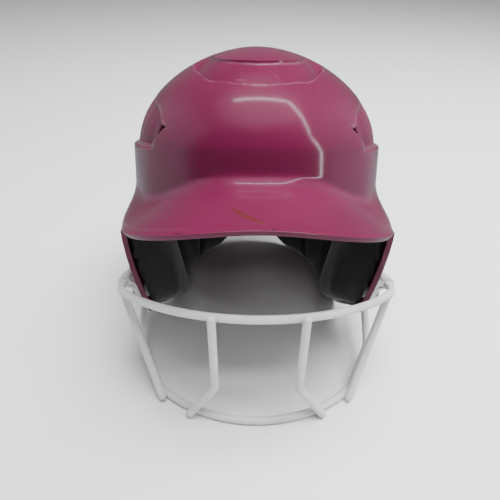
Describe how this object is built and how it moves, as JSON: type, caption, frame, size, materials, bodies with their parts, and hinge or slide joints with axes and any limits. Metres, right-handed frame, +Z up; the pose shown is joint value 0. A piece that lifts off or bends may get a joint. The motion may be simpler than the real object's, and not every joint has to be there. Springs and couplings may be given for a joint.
{
  "type": "batting helmet with face mask",
  "caption": "Vented hard shell helmet with brim and two ear flaps, foam pads inside, and a welded wire face guard held by strap clips.",
  "frame": {"origin": "middle of the footprint, on the floor that the helmet stands on with its guard and rear rim", "axes": "+X to the wearer's left, +Y from the guard to the back of the helmet, +Z up"},
  "size_m": [0.2198, 0.3023, 0.2322],
  "materials": {
    "shell": "painted, clear-coated impact plastic in deep pink, lightly scuffed",
    "foam": "fabric-faced soft closed-cell foam, black",
    "coated_wire": "round steel wire under a smooth white dipped vinyl coat",
    "clip_vinyl": "white vinyl strap, satin",
    "plated_steel": "zinc-plated steel screws, washers and tee nuts"
  },
  "bodies": {
    "root": {"shell": "shell", "forehead_pad": "foam", "crown_pad": "foam", "back_pad": "foam", "side_pad_left": "foam", "side_pad_right": "foam", "ear_pad_left": "foam", "ear_pad_right": "foam", "nape_pad_left": "foam", "nape_pad_right": "foam", "guard_upper_bar": "coated_wire", "guard_lower_bar": "coated_wire", "guard_loop_left": "coated_wire", "guard_loop_right": "coated_wire", "middle_bar_left": "coated_wire", "middle_bar_right": "coated_wire", "side_bar_left": "coated_wire", "side_bar_right": "coated_wire", "upper_clip_left": "clip_vinyl", "upper_clip_right": "clip_vinyl", "lower_clip_left": "clip_vinyl", "lower_clip_right": "clip_vinyl", "clip_screws": "plated_steel", "clip_washers": "plated_steel", "clip_nuts": "plated_steel"}
  },
  "joints": []
}
